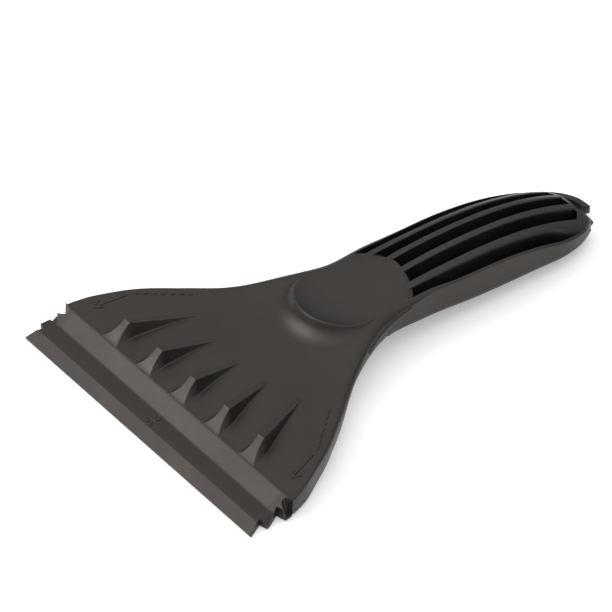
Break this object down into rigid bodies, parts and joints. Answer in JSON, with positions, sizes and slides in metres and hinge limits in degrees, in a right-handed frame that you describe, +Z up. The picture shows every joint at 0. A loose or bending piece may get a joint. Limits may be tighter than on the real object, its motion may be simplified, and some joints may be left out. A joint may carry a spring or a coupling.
{
  "type": "windshield ice scraper",
  "caption": "Hand ice scraper: bevelled blade with side chipper teeth, ribbed fan head, dished thumb rest and an arched, slotted handle with an open hang hole.",
  "frame": {"origin": "centre of the footprint, on the surface the tool lies on", "axes": "+X across the blade, +Y from the blade to the handle's tip, +Z up with the ribbed face up"},
  "size_m": [0.116, 0.176, 0.0192],
  "materials": {
    "blade_plastic": "satin moulded, slightly brighter along the edge",
    "head_plastic": "fine-grained satin moulded",
    "handle_plastic": "satin moulded"
  },
  "bodies": {
    "root": {"blade_band": "blade_plastic", "blade_edge": "blade_plastic", "corner_tooth_left": "blade_plastic", "corner_tooth_right": "blade_plastic", "end_web": "handle_plastic", "frost_mark": "blade_plastic", "handle_floor": "handle_plastic", "handle_rib_1": "handle_plastic", "handle_rib_2": "handle_plastic", "handle_rib_3": "handle_plastic", "handle_rib_4": "handle_plastic", "handle_wall_left": "handle_plastic", "handle_wall_right": "handle_plastic", "hang_hook": "handle_plastic", "head_plate": "head_plastic", "head_ramp": "head_plastic", "neck_bulkhead": "handle_plastic", "neck_shell": "head_plastic", "side_wall_left": "head_plastic", "side_wall_right": "head_plastic", "thumb_rest": "head_plastic", "tip_lobe": "handle_plastic", "tooth_arrow_left": "head_plastic", "tooth_arrow_right": "head_plastic", "wedge_rib_1": "head_plastic", "wedge_rib_2": "head_plastic", "wedge_rib_3": "head_plastic", "wedge_rib_4": "head_plastic", "wedge_rib_5": "head_plastic"}
  },
  "joints": []
}
